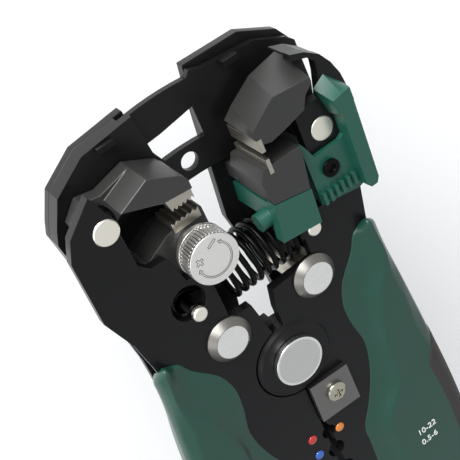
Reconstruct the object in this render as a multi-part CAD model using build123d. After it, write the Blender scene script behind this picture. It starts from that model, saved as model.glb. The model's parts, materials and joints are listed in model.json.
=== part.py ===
from build123d import *
import math
import os

# Self-adjusting wire stripper, lying on its back.
# Origin: main pivot axis, at the level of the surface that the tool lies on.
# +Y points to the stripping heads, +Z is the tool's front, +X is the stripping-blade side.
# Rest position: handles squeezed, heads spread apart.

# ---- driving dimensions (mm, degrees) ----
GRIP_LO = 0.0            # back of the grips
GRIP_HI = 22.0           # front of the grips
GRIP_EASE = 2.0          # chamfer along the grips' edges
GRIP_REACH = 50.0        # wider than a grip
REAR_LO = 2.5            # rear frame plates
REAR_HI = 5.0
DOUBLER_HI = 9.3         # thick head doubler on the left rear plate
LINK_LO = 5.2            # link plate that slides in the doubler's slot
LINK_HI = 6.8
SLOT_CEILING = 7.0       # roof of that slot
JAW_LO = 9.6             # back of the upper jaws
KNUCKLE_LO = 13.7        # thick knuckle of the left frame
KNUCKLE_HI = 16.4
JAW_ARM_HI = 13.4        # front of the arms that carry the upper jaws
SEAT_LO = 9.3            # where the lower cutting jaw widens
FRONT_LO = 16.5          # front frame plates
FRONT_HI = 19.0
GRIP_JAW_HI = 21.0       # front of the upper gripping jaw
CUT_JAW_HI = 22.0        # front of the stripping jaws

KNUCKLE_R = 10.0         # pivot knuckle of each frame
KNUCKLE_GAP = 0.4        # gap between a knuckle and the other frame
PIVOT_R = 4.5            # main rivet shank
RUNNING = 0.05           # radial running clearance
PIVOT_HEAD_R = 6.2
TAIL_HI = 12.9           # front face of the main rivet's rear head
SIDE_RIVET = (12.0, 16.6)
SIDE_RIVET_HEAD_R = 5.5
POST_R = 1.75            # spring posts
LEFT_POST = (-15.2, 27.0)
RIGHT_POST = (16.3, 27.4)
GRIP_JAW_PIN = (-24.2, 56.7)
CUT_JAW_PIN = (26.6, 47.6)
JAW_PIN_R = 2.9
LOWER_JAW_HI = 16.4      # front of the lower gripping jaw
KNOB_AT = (-8.7, 40.8)
KNOB_R = 5.75
KNOB_LO = 19.3
KNOB_HI = 25.0
THROAT_X = 0.8           # half gap between the frames below the pivot
THROAT_END_Y = -56.0
TANG_END_Y = -118.0
BLADE_X = 10.6           # left face of the stripping blades
BLADE_T = 1.0
LINK_IN_R = 48.0         # link plate: lower bar and upper arm, radii about the main pivot
BAR_OUT_R = 55.4
ARM_IN_R = 61.2
ARM_OUT_R = 69.1
SLIDE = 0.3              # clearance of the link plate in the doubler's slot
BORE = 1.0               # how far a drill or cutting solid passes through a plate
SPRING_AT = (27.4, 12.4) # main spring's axis: (y, z)

RIDGES = 6               # ridges on the stop's floor
RIDGE_PITCH = 1.65

CRIMP_NESTS = [(-27.0, 1.9), (-33.5, 2.3), (-41.5, 2.8)]   # (y, nest radius)

LEFT = -1
RIGHT = 1

os.makedirs("parts", exist_ok=True)


# ---- small helpers ----
def prism(points, low, high):
    """Straight-sided solid on a closed polygon."""
    face = make_face(Polyline(*points, close=True))
    return extrude(Pos(0, 0, low) * face, high - low, dir=(0, 0, 1))


def disc(at, radius, low, high):
    """Round solid standing on z = low."""
    height = high - low
    return Pos(at[0], at[1], low + height / 2) * Cylinder(radius, height)


def ring(at, outer, inner, low, high):
    return disc(at, outer, low, high) - disc(at, inner, low - 1, high + 1)


def cone(at, r_low, r_high, low, high):
    height = high - low
    return Pos(at[0], at[1], low + height / 2) * Cone(r_low, r_high, height)


def block(x0, x1, y0, y1, z0, z1):
    centre = ((x0 + x1) / 2, (y0 + y1) / 2, (z0 + z1) / 2)
    return Pos(*centre) * Box(x1 - x0, y1 - y0, z1 - z0)


def polar(radius, degrees_from_y):
    """Point at a radius from the main pivot, turned clockwise from +Y."""
    a = math.radians(degrees_from_y)
    return (radius * math.sin(a), radius * math.cos(a))


def arc_points(radius, start, stop, steps):
    """Points of an arc about the main pivot, angles clockwise from +Y."""
    return [polar(radius, start + (stop - start) * i / steps) for i in range(steps + 1)]


def mirrored(points):
    return [(-x, y) for x, y in points]


def soften(solid, size, low, high):
    """Chamfer the outline edges that lie in the planes z = low and z = high."""
    flat = [e for e in solid.edges() if abs(e.center().Z - low) < 0.01 or abs(e.center().Z - high) < 0.01]
    return chamfer(flat, size)


def save(name, shape):
    export_step(shape, "parts/" + name + ".step")


# ---- outlines ----
def tang_outline():
    """Part of a right-hand frame plate below the pivot: throat edge, tang in the grip, outer edge."""
    return [
        (THROAT_X, THROAT_END_Y), (10.0, -62.0), (13.5, -80.0), (15.5, -100.0), (18.5, TANG_END_Y),
        (27.0, TANG_END_Y), (29.5, -100.0), (31.0, -80.0), (31.0, -52.0), (30.0, -27.0), (28.3, -4.0),
        (28.3, 14.0),
    ]


NOTCH_R = KNUCKLE_R + KNUCKLE_GAP
NOTCH_STEPS = 24
NOTCH_LOW_ANGLE = 180.0 - math.degrees(math.asin(THROAT_X / NOTCH_R))


def left_front_outline():
    column = [
        (-21.9, 46.1), (-21.9, 59.0), (-24.2, 65.4), (-27.6, 62.6), (-31.1, 59.7), (-33.2, 55.0),
        (-33.6, 39.0), (-30.6, 30.1), (-29.2, 21.2),
    ]
    tang = mirrored(tang_outline())
    notch = arc_points(NOTCH_R, -NOTCH_LOW_ANGLE, -13.0, NOTCH_STEPS)
    inner = [
        (-3.2, 14.9), (-4.1, 20.3), (-9.6, 20.6), (-9.6, 35.8), (-14.4, 36.0), (-15.5, 41.7),
        (-16.4, 43.5), (-19.9, 43.7),
    ]
    return column + tang[::-1] + notch + inner


def right_front_outline():
    """Hooked head round the swinging jaw, then the column and the spring's window."""
    hook = [
        (35.4, 50.9), (35.2, 54.0), (34.8, 56.6), (33.5, 60.1), (31.7, 63.0), (28.6, 65.4), (25.3, 66.7),
        (25.0, 65.3), (28.7, 64.0), (30.2, 62.2), (29.9, 59.6), (28.6, 54.6), (22.0, 54.6), (21.5, 54.0),
    ]
    window = [(21.5, 31.2), (13.5, 31.2), (13.5, 20.4)]
    inner = [(1.8, 20.2), (0.8, 14.9), (0.7, 9.6), (THROAT_X, -9.6)]
    return hook + window + inner + tang_outline() + [(29.2, 21.2), (30.6, 30.1)]


def rear_head(side):
    """Head outline of a rear plate, from the inner top corner round to the outer edge."""
    if side == LEFT:
        return [(-6.8, 69.6), (-19.5, 68.2), (-27.6, 63.3), (-30.9, 57.2), (-32.1, 54.3), (-30.6, 40.8),
                (-29.7, 30.1), (-28.9, 20.0)]
    return [(8.7, 70.6), (22.8, 70.2), (31.4, 65.7), (34.6, 60.6), (35.0, 50.0), (30.6, 30.1), (29.2, 21.2)]


# ---- left frame ----
def crimp_cuts(low, high):
    return [disc((0, y), r, low, high) for y, r in CRIMP_NESTS]


def left_front_plate():
    plate = prism(left_front_outline(), FRONT_LO, FRONT_HI)
    cuts = [
        disc((-16.2, 30.8), 4.2, FRONT_LO - BORE, FRONT_HI + BORE),
        disc(LEFT_POST, POST_R, FRONT_LO - BORE, FRONT_HI + BORE),
        disc((-SIDE_RIVET[0], SIDE_RIVET[1]), 3.0, FRONT_LO - BORE, FRONT_HI + BORE),
        disc(GRIP_JAW_PIN, JAW_PIN_R, FRONT_LO - BORE, FRONT_HI + BORE),
    ] + crimp_cuts(FRONT_LO - BORE, FRONT_HI + BORE)
    for cut in cuts:
        plate = plate - cut
    return plate


def left_rear_plate():
    inner = [(-0.8, -9.7), (-3.4, -4.0), (-3.4, 4.0), (-1.7, 14.0), (-3.7, 33.0), (-5.9, 60.0)]
    outline = rear_head(LEFT) + mirrored(tang_outline())[::-1] + inner
    plate = prism(outline, REAR_LO, REAR_HI)
    cuts = [
        disc(LEFT_POST, POST_R, REAR_LO - BORE, REAR_HI + BORE),
        disc((-SIDE_RIVET[0], SIDE_RIVET[1]), 3.0, REAR_LO - BORE, REAR_HI + BORE),
        disc(GRIP_JAW_PIN, JAW_PIN_R, REAR_LO - BORE, REAR_HI + BORE),
        disc(KNOB_AT, 2.0, REAR_LO - BORE, REAR_HI + BORE),
    ] + crimp_cuts(REAR_LO - BORE, REAR_HI + BORE)
    for cut in cuts:
        plate = plate - cut
    return plate


def slot_sector(inner, outer, start, stop):
    """Space that a band of the link plate sweeps under the doubler's roof."""
    points = arc_points(outer, start, stop, 10) + arc_points(inner, stop, start, 10)
    return prism(points, REAR_LO, SLOT_CEILING)


def left_knuckle_plate():
    """Thick knuckle of the left frame, behind the front plates, with an ear on the side rivet."""
    ear = [(-4.5, 8.9), (-5.5, 14.0), (-9.8, 20.4), (-17.0, 20.4), (-20.0, 12.0), (-20.0, -6.0), (-9.0, -9.0),
           (-4.0, -9.2)]
    plate = prism(ear, KNUCKLE_LO, KNUCKLE_HI) + disc((0, 0), KNUCKLE_R, KNUCKLE_LO, KNUCKLE_HI)
    plate = plate - disc((0, 0), PIVOT_R, KNUCKLE_LO - BORE, KNUCKLE_HI + BORE)
    return plate - disc((-SIDE_RIVET[0], SIDE_RIVET[1]), 3.0, KNUCKLE_LO - BORE, KNUCKLE_HI + BORE)


def left_rim_doubler():
    """Thick doubler on the head: flush with the rear plate outside, slotted for the link plate."""
    outer = rear_head(LEFT)[:6]
    inner = [(-27.6, 40.0), (-27.8, 47.0), (-23.6, 50.6), (-14.0, 53.6), (-3.9, 55.4), (-6.0, 60.0)]
    shape = prism(outer + inner, REAR_HI, DOUBLER_HI)
    shape = shape - slot_sector(LINK_IN_R - SLIDE, ARM_OUT_R + 3.0, 0.0, -7.6)
    shape = shape - slot_sector(ARM_IN_R - SLIDE, ARM_OUT_R + SLIDE, 0.0, -20.8)
    shape = shape - slot_sector(LINK_IN_R - SLIDE, BAR_OUT_R + SLIDE, 0.0, -26.0)
    shape = shape + block(-16.4, -12.3, 66.9, 68.2, DOUBLER_HI, DOUBLER_HI + 1.2)
    return shape - disc(GRIP_JAW_PIN, JAW_PIN_R, REAR_LO, JAW_LO)


def grip_outline():
    outer = [(29.9, 23.9), (31.2, 17.0), (32.8, 0.0), (35.0, -19.0), (36.6, -31.0), (37.7, -43.0),
             (38.6, -60.0), (38.2, -82.0), (36.2, -105.0), (33.4, -127.0)]
    toe = [(33.4, -127.0), (31.0, -135.5), (25.5, -138.5), (19.5, -136.0), (16.2, -128.0)]
    inner = [(16.2, -128.0), (12.4, -105.0), (9.4, -80.0), (8.4, -57.0), (8.7, -41.0), (9.2, -34.5),
             (12.2, -28.5), (16.4, -18.3), (17.4, -9.7), (16.4, -2.6), (16.4, 4.5), (18.4, 11.5),
             (22.8, 18.8), (26.6, 23.4)]
    return [Spline(*outer), Spline(*toe), Spline(*inner), Line(inner[-1], outer[0])]


def grip_blank():
    """Moulded bar with eased edges; its top end leans back from front to rear."""
    blank = extrude(Pos(0, 0, GRIP_LO) * make_face(grip_outline()), GRIP_HI - GRIP_LO, dir=(0, 0, 1))
    blank = soften(blank, GRIP_EASE, GRIP_LO, GRIP_HI)
    lean = Plane.YZ * Polyline((24.5, GRIP_HI + 1.0), (3.5, GRIP_LO - 1.0), (30.0, GRIP_LO - 1.0),
                               (30.0, GRIP_HI + 1.0), close=True)
    return blank - extrude(make_face(lean), GRIP_REACH, dir=(1, 0, 0))


def inlay_zone():
    """Band along the grip's outer side that the soft inlay fills."""
    edge = [(37.5, -17.5), (33.6, -23.5), (32.6, -30.0), (33.2, -43.0), (34.4, -60.0), (34.0, -82.0), (31.8, -104.0),
            (29.6, -122.0), (34.6, -128.5)]
    return prism(edge + [(48.0, -128.5), (48.0, -17.5)], GRIP_LO + 1.0, GRIP_HI - 0.5)


def tang_cavity():
    """Space in the grip that both tangs and the gap between them take up."""
    open_side = [(-4.0, -40.0), (-4.0, -10.0), (10.0, 14.0), (20.0, 30.0)]
    return prism(tang_outline() + [(29.2, 21.2), (30.6, 30.1)] + open_side[::-1],
                 REAR_LO, FRONT_HI)


def grip_and_inlay(side):
    blank = grip_blank()
    zone = inlay_zone()
    grip = blank - zone - tang_cavity()
    inlay = blank & zone
    if side == LEFT:
        grip = mirror(grip, about=Plane.YZ)
        inlay = mirror(inlay, about=Plane.YZ)
    return grip, inlay


def gripping_lower_jaw():
    front = [(-14.1, 36.2), (-3.8, 36.2), (-3.9, 47.4), (-4.8, 47.8), (-4.8, 45.9), (-11.5, 45.9),
             (-11.5, 46.6), (-13.2, 46.2), (-19.4, 43.2), (-19.4, 38.5), (-15.8, 37.0)]
    body = prism(front, JAW_LO, LOWER_JAW_HI)
    leg = prism([(-13.8, 36.2), (-4.0, 36.2), (-4.6, 44.6), (-13.0, 44.6), (-19.0, 42.0)], REAR_HI, JAW_LO)
    return body + leg - disc(KNOB_AT, 2.0, REAR_HI - 1, 18.0)


def toothed_edge(x0, x1, y, depth, count):
    """Zigzag from (x0, y) to (x1, y) with teeth cut by depth (signed)."""
    step = (x1 - x0) / count
    points = []
    for i in range(count):
        points.append((x0 + i * step, y))
        points.append((x0 + (i + 0.5) * step, y + depth))
    points.append((x1, y))
    return points


def lower_jaw_teeth():
    top = toothed_edge(-11.5, -4.8, 48.4, -0.7, 5)
    return prism([(-11.5, 45.9)] + top + [(-4.8, 45.9)], JAW_LO + 0.2, 17.0)


def gripping_upper_jaw():
    face = [(-20.6, 59.6), (-13.0, 62.8), (-6.6, 59.2), (-5.3, 57.4), (-5.3, 55.2), (-12.0, 56.0)]
    nose = prism(face, FRONT_LO - 0.3, GRIP_JAW_HI)
    back = prism([(-28.6, 58.4), (-24.8, 62.0), (-20.6, 61.0), (-13.0, 62.8), (-6.6, 59.2), (-5.3, 57.4),
                  (-5.3, 55.2), (-12.0, 56.0), (-19.0, 54.4), (-24.6, 51.2), (-28.0, 53.4)],
                 JAW_LO, 13.4)
    middle = prism(face, 13.4, FRONT_LO - 0.3)
    jaw = back + middle + nose
    return jaw - disc(GRIP_JAW_PIN, JAW_PIN_R + RUNNING, JAW_LO - 1, 14.0)


def upper_jaw_teeth():
    bottom = toothed_edge(-5.6, -10.9, 52.9, 0.7, 5)
    return prism(bottom + [(-11.6, 55.9), (-5.6, 55.2)], JAW_LO + 0.3, GRIP_JAW_HI - 0.4)


def stepped_rivet(at, shank_r, head_r, face_r, head_low, head_high):
    """Rivet through both plates of a frame, with a cone-shaped polished head in front."""
    shank = disc(at, shank_r, REAR_LO, head_low)
    head = disc(at, head_r, head_low, head_low + 0.5) + cone(at, head_r, face_r, head_low + 0.5, head_high)
    tail = cone(at, shank_r + 0.8, shank_r + 1.4, REAR_LO - 1.2, REAR_LO)
    return shank + head + tail


def side_rivet(side):
    return stepped_rivet((side * SIDE_RIVET[0], SIDE_RIVET[1]), 3.0, SIDE_RIVET_HEAD_R, 3.9, FRONT_HI, 21.0)


def side_spacer(side):
    high = KNUCKLE_LO if side == LEFT else FRONT_LO
    return ring((side * SIDE_RIVET[0], SIDE_RIVET[1]), 3.9, 3.0, REAR_HI, high)


def spring_post(at):
    post = disc(at, POST_R, REAR_LO, 19.8)
    collar = ring(at, 2.6, POST_R, REAR_HI, 8.0)
    return post + collar


def jaw_pin(at, top):
    return disc(at, JAW_PIN_R, REAR_LO, top)


def main_rivet():
    """Pivot rivet through both frames, with a thin stem that reaches the resting plane."""
    shank = disc((0, 0), PIVOT_R, TAIL_HI, 19.9)
    head = disc((0, 0), PIVOT_HEAD_R, 19.7, 21.3)
    tail = disc((0, 0), 6.0, TAIL_HI - 1.5, TAIL_HI)
    stem = disc((0, 0), 2.4, GRIP_LO, TAIL_HI)
    return shank + head + tail + stem


def pivot_sleeve():
    return ring((0, 0), 7.0, PIVOT_R, TAIL_HI, KNUCKLE_LO)


def travel_stop():
    """Small block on the knuckle's edge that the right frame's column meets."""
    body = block(-4.4, -0.6, 9.0, 11.8, KNUCKLE_LO, KNUCKLE_HI)
    return body - disc((0, 0), KNUCKLE_R, KNUCKLE_LO - BORE, KNUCKLE_HI + BORE)


# ---- knob ----
def adjusting_knob():
    """Knurled knob: notched rear flange, ribbed drum and plain front rim."""
    drum = disc(KNOB_AT, KNOB_R, KNOB_LO + 1.6, KNOB_HI)
    flange = disc(KNOB_AT, KNOB_R + 0.1, KNOB_LO, KNOB_LO + 1.2)
    neck = disc(KNOB_AT, KNOB_R - 0.6, KNOB_LO, KNOB_HI) + disc(KNOB_AT, 4.2, LOWER_JAW_HI + 0.1, KNOB_LO)
    knob = drum + flange + neck
    count = 24
    for i in range(count):
        a = 2 * math.pi * i / count
        at = (KNOB_AT[0] + (KNOB_R + 0.2) * math.cos(a), KNOB_AT[1] + (KNOB_R + 0.2) * math.sin(a))
        knob = knob - disc(at, 0.45, KNOB_LO + 1.5, KNOB_HI - 1.4)
    return knob - disc(KNOB_AT, 1.6, LOWER_JAW_HI, KNOB_HI - 2.0)


def knob_screw():
    """Screw that the knob turns: threaded part shown plain, running in the jaw and the rear plate."""
    thick = disc(KNOB_AT, 2.0 - RUNNING, REAR_LO, LOWER_JAW_HI + 0.1)
    return thick + disc(KNOB_AT, 1.6, LOWER_JAW_HI + 0.1, KNOB_HI - 2.0)


# ---- right frame ----
def right_front_plate():
    plate = prism(right_front_outline(), FRONT_LO, FRONT_HI)
    plate = plate + disc((0, 0), KNUCKLE_R, FRONT_LO, FRONT_HI) + cone((0, 0), 9.7, 9.0, FRONT_HI, 19.6)
    slot = block(24.3, 30.3, 39.5 - 1.7, 39.5 + 1.7, FRONT_LO - BORE, FRONT_HI + BORE)
    cuts = [
        slot,
        disc((24.3, 39.5), 1.7, FRONT_LO - BORE, FRONT_HI + BORE),
        disc((30.3, 39.5), 1.7, FRONT_LO - BORE, FRONT_HI + BORE),
        disc((0, 0), PIVOT_R + RUNNING, FRONT_LO - 1, 21),
        disc(RIGHT_POST, POST_R, FRONT_LO - BORE, FRONT_HI + BORE),
        disc(SIDE_RIVET, 3.0, FRONT_LO - BORE, FRONT_HI + BORE),
        disc(CUT_JAW_PIN, JAW_PIN_R, FRONT_LO - BORE, FRONT_HI + BORE),
        disc((5.3, -15.3), 1.5, FRONT_LO - BORE, FRONT_HI + BORE),
    ] + crimp_cuts(FRONT_LO - BORE, FRONT_HI + BORE)
    for cut in cuts:
        plate = plate - cut
    return plate


def right_rear_plate():
    inner = [(7.1, 60.0), (3.9, 33.0), (7.2, 14.0), (7.8, 2.0), (6.5, -6.0), (0.8, -10.4)]
    outline = rear_head(RIGHT)[::-1] + inner + tang_outline()
    plate = prism(outline, REAR_LO, REAR_HI)
    cuts = [
        disc(RIGHT_POST, POST_R, REAR_LO - BORE, REAR_HI + BORE),
        disc(SIDE_RIVET, 3.0, REAR_LO - BORE, REAR_HI + BORE),
        disc(CUT_JAW_PIN, JAW_PIN_R, REAR_LO - BORE, REAR_HI + BORE),
    ] + crimp_cuts(REAR_LO - BORE, REAR_HI + BORE)
    for cut in cuts:
        plate = plate - cut
    return plate


def link_plate():
    """Plate on the right frame whose arm and bar slide in the left head: open window, round hole, tab."""
    top = arc_points(ARM_OUT_R, -8.3, 6.5, 6)
    outer = [(8.9, 69.9), (12.2, 68.7), (24.7, 67.4), (31.9, 63.9), (33.7, 62.1), (33.8, 59.2), (33.4, 50.0),
             (20.8, 50.4)]
    bar = arc_points(LINK_IN_R, 12.0, -13.5, 8) + arc_points(BAR_OUT_R, -13.5, 6.7, 8)
    arm = [(6.5, 62.4), (-2.0, 61.2), polar(ARM_IN_R, -5.0), polar(ARM_IN_R, -8.3)]
    plate = prism(top + outer + bar + arm, LINK_LO, LINK_HI)
    plate = plate - disc((1.1, 51.8), 2.1, LINK_LO - BORE, LINK_HI + BORE)
    plate = plate + block(15.8, 19.6, 66.6, 68.0, LINK_HI, LINK_HI + 1.8)
    return plate - disc(CUT_JAW_PIN, JAW_PIN_R, LINK_LO - BORE, LINK_HI + BORE)


def link_spacers():
    """Spacers that hold the link plate off the right rear plate."""
    pads = [disc((29.5, 62.6), 1.8, REAR_HI, LINK_LO), disc((30.4, 53.0), 1.8, REAR_HI, LINK_LO)]
    collar = ring(CUT_JAW_PIN, 4.4, JAW_PIN_R, REAR_HI, LINK_LO)
    return Compound(children=[pads[0], pads[1], collar])


def cutting_lower_jaw():
    face = [(8.0, 46.9), (9.2, 49.6), (18.9, 49.4), (19.0, 47.9), (17.7, 38.9), (8.7, 40.9)]
    body = prism(face, SEAT_LO, CUT_JAW_HI)
    deep = prism([(8.3, 42.2), (8.6, 46.0), (18.6, 46.0), (17.9, 40.6)], REAR_HI, SEAT_LO)
    blade_slot = block(BLADE_X, BLADE_X + BLADE_T, 47.7, 51.0, SEAT_LO - 1, CUT_JAW_HI + 1)
    return body + deep - blade_slot


def lower_stripping_blade():
    return block(BLADE_X, BLADE_X + BLADE_T, 47.7, 51.3, SEAT_LO + 0.4, CUT_JAW_HI + 0.1)


def lofted(low_points, low, high_points, high):
    """Solid between two polygons with the same number of corners."""
    low_face = Pos(0, 0, low) * make_face(Polyline(*low_points, close=True))
    high_face = Pos(0, 0, high) * make_face(Polyline(*high_points, close=True))
    return loft([low_face, high_face])


def cutting_upper_jaw():
    """Jaw block that leans outwards towards the back, on an arm that turns on its pin."""
    front = [(17.1, 62.7), (26.4, 61.6), (26.3, 60.4), (24.1, 58.7), (22.7, 56.0), (17.1, 54.7),
             (13.5, 54.1), (11.7, 54.7), (10.1, 56.8), (10.3, 58.5)]
    rear = [(19.6, 62.7), (27.4, 64.1), (27.3, 62.8), (25.9, 60.9), (24.6, 57.3), (17.1, 55.0),
            (13.5, 54.5), (11.9, 55.3), (10.7, 57.1), (13.3, 59.1)]
    arm = [(19.0, 58.0), (21.6, 52.5), (22.4, 46.6), (24.2, 43.9), (28.0, 43.6), (30.6, 45.6), (30.8, 49.5),
           (29.4, 56.0), (26.6, 61.5)]
    jaw = lofted(rear, JAW_LO, front, CUT_JAW_HI) + prism(arm, JAW_LO, JAW_ARM_HI)
    jaw = jaw - disc(CUT_JAW_PIN, JAW_PIN_R + RUNNING, JAW_LO - BORE, JAW_ARM_HI + BORE)
    return jaw - block(BLADE_X, BLADE_X + BLADE_T, 50.0, 56.2, JAW_LO - BORE, CUT_JAW_HI + BORE)


def upper_stripping_blade():
    return block(BLADE_X, BLADE_X + BLADE_T, 53.1, 56.2, JAW_LO + 0.4, CUT_JAW_HI + 0.1)


def stop_housing():
    """Green plastic carrier under the cutting jaw, with a round peg at its side."""
    lip = prism([(7.4, 31.2), (8.7, 40.7), (17.9, 38.7), (17.4, 29.8)], FRONT_HI, CUT_JAW_HI)
    deep = prism([(8.1, 35.2), (8.6, 40.2), (17.7, 38.2), (17.3, 35.2)], REAR_HI, FRONT_HI)
    peg = Pos(6.9, 36.2, 17.6) * Rot(0, 90, 0) * Cylinder(2.1, 3.2)
    return lip + deep + peg


def wire_stop():
    """Sliding stop: floor with ridges, long outer bar and a cap with a sloping top."""
    low = FRONT_HI + 0.2
    high = 23.0
    floor = prism([(19.5, 49.0), (20.4, 47.4), (21.9, 43.7), (28.6, 43.7), (31.0, 45.0), (31.0, 30.6),
                   (29.4, 30.2), (19.7, 32.2)], low, low + 1.2)
    bar = prism([(30.0, 52.0), (33.6, 52.0), (33.4, 31.6), (32.6, 30.3), (31.0, 30.3), (30.0, 31.6)], low, high)
    cap = lofted([(27.5, 57.1), (30.8, 58.8), (34.4, 54.6), (34.0, 50.6), (29.3, 50.0)], low,
                 [(29.0, 54.3), (31.4, 54.7), (33.6, 55.0), (33.7, 51.8), (29.1, 50.9)], high)
    stop = floor + bar + cap
    for i in range(RIDGES):
        x = 20.0 + RIDGE_PITCH * i
        stop = stop + block(x, x + 0.8, 32.2, 35.2, low + 0.6, low + 2.4)
    return stop - disc((24.3, 39.5), 1.6, low - BORE, low + 4)


def stop_screw():
    low = FRONT_HI + 0.2
    return disc((24.3, 39.5), 1.6, FRONT_LO - 0.6, low + 1.6) + ring((24.3, 39.5), 2.1, 1.0, low + 1.6, low + 2.2)


def cutter_blade():
    outline = [(-THROAT_X + 0.1, -21.5), (-0.5, -9.7), (10.4, -10.6), (10.5, -22.3)]
    blade = prism(outline, FRONT_HI + 0.1, FRONT_HI + 1.6)
    return blade - disc((5.3, -15.3), 1.5, FRONT_LO, FRONT_HI + 3)


def cutter_screw():
    """Pan-head screw with a cross recess."""
    at = (5.3, -15.3)
    shank = disc(at, 1.5, FRONT_LO - 2, FRONT_HI + 1.6)
    head = disc(at, 2.6, FRONT_HI + 1.6, FRONT_HI + 2.4) + cone(at, 2.6, 1.7, FRONT_HI + 2.4, FRONT_HI + 3.0)
    top = FRONT_HI + 3.0
    cross = block(at[0] - 1.3, at[0] + 1.3, at[1] - 0.3, at[1] + 0.3, top - 1.0, top + 1)
    cross = cross + block(at[0] - 0.3, at[0] + 0.3, at[1] - 1.3, at[1] + 1.3, top - 1.0, top + 1)
    return shank + head - cross


# ---- springs ----
def coil(start, turns, pitch, radius, wire_r, turned):
    """Round wire wound into a helix; turned lays its axis along another direction."""
    helix = Helix(pitch=pitch, height=pitch * turns, radius=radius)
    path = Pos(*start) * turned * helix
    section = Plane(origin=path @ 0, z_dir=path % 0) * Circle(wire_r)
    return sweep(section, path=path, is_frenet=True)


def spring_hook(post, x0, x1):
    """Eye round a post and the straight wire from the coil to it."""
    low = SPRING_AT[1] - 0.6
    high = SPRING_AT[1] + 0.6
    eye = ring(post, 3.0, POST_R + 0.15, low, high)
    return eye + block(x0, x1, SPRING_AT[0] - 0.6, SPRING_AT[0] + 0.6, low, high)


def main_tension_spring():
    """Extension spring between the posts; it pulls the heads together."""
    body = coil((-6.0, SPRING_AT[0], SPRING_AT[1]), 9, 2.05, 6.1, 0.65, Rot(0, 90, 0))
    left_hook = spring_hook(LEFT_POST, LEFT_POST[0] + 2.4, -7.2)
    right_hook = spring_hook(RIGHT_POST, 11.0, RIGHT_POST[0] - 2.4)
    return Compound(children=[body, left_hook, right_hook])


def jaw_torsion_spring(at):
    return coil((at[0], at[1], 14.1), 2.5, 0.75, 3.6, 0.3, Rot(0, 0, 0))


# ---- write every sub-part ----
left_grip, left_inlay = grip_and_inlay(LEFT)
right_grip, right_inlay = grip_and_inlay(RIGHT)

PARTS = {
    "left_front_plate": left_front_plate(),
    "left_rear_plate": left_rear_plate(),
    "left_knuckle_plate": left_knuckle_plate(),
    "left_rim_doubler": left_rim_doubler(),
    "left_grip": left_grip,
    "left_grip_inlay": left_inlay,
    "gripping_lower_jaw": gripping_lower_jaw(),
    "lower_jaw_teeth": lower_jaw_teeth(),
    "gripping_jaw_pin": jaw_pin(GRIP_JAW_PIN, 19.3),
    "left_side_rivet": side_rivet(LEFT),
    "left_side_spacer": side_spacer(LEFT),
    "left_spring_post": spring_post(LEFT_POST),
    "main_pivot_rivet": main_rivet(),
    "pivot_sleeve": pivot_sleeve(),
    "travel_stop": travel_stop(),
    "gripping_upper_jaw": gripping_upper_jaw(),
    "upper_jaw_teeth": upper_jaw_teeth(),
    "adjusting_knob": adjusting_knob(),
    "knob_screw": knob_screw(),
    "right_front_plate": right_front_plate(),
    "right_rear_plate": right_rear_plate(),
    "link_plate": link_plate(),
    "link_spacers": link_spacers(),
    "right_grip": right_grip,
    "right_grip_inlay": right_inlay,
    "cutting_lower_jaw": cutting_lower_jaw(),
    "lower_stripping_blade": lower_stripping_blade(),
    "stop_housing": stop_housing(),
    "cutting_jaw_pin": jaw_pin(CUT_JAW_PIN, FRONT_HI),
    "right_side_rivet": side_rivet(RIGHT),
    "right_side_spacer": side_spacer(RIGHT),
    "right_spring_post": spring_post(RIGHT_POST),
    "cutter_blade": cutter_blade(),
    "cutter_screw": cutter_screw(),
    "cutting_upper_jaw": cutting_upper_jaw(),
    "upper_stripping_blade": upper_stripping_blade(),
    "wire_stop": wire_stop(),
    "stop_screw": stop_screw(),
    "main_tension_spring": main_tension_spring(),
    "gripping_jaw_spring": jaw_torsion_spring(GRIP_JAW_PIN),
    "cutting_jaw_spring": jaw_torsion_spring(CUT_JAW_PIN),
}

for part_name, part_shape in PARTS.items():
    save(part_name, part_shape)
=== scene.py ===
import json
import math

import bmesh
import bpy
import numpy as np
from mathutils import Euler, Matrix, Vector


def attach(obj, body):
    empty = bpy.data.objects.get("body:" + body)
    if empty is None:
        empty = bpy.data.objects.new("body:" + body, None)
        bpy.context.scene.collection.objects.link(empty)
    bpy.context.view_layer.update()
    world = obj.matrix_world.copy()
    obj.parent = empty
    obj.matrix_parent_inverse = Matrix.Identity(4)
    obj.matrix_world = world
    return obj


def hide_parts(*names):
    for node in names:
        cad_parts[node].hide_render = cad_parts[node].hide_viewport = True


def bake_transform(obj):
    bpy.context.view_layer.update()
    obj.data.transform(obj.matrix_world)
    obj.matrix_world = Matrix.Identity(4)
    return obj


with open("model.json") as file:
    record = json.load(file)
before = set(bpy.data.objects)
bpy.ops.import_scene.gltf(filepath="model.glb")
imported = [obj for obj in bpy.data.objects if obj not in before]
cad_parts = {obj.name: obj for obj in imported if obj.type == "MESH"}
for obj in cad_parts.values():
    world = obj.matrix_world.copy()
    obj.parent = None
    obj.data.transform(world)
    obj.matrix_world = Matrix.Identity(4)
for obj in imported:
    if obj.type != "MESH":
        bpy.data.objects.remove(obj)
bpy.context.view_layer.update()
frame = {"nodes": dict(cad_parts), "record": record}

bl_info = {
    "name": "Wire Stripper Looks",
    "version": (1, 0, 0),
    "blender": (4, 5, 0),
    "location": "View3D > Sidebar > Wire Stripper",
    "description": "Builds the visible surfaces and finishes of a self-adjusting wire stripper",
    "category": "Object",
}

MM = 0.001

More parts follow.
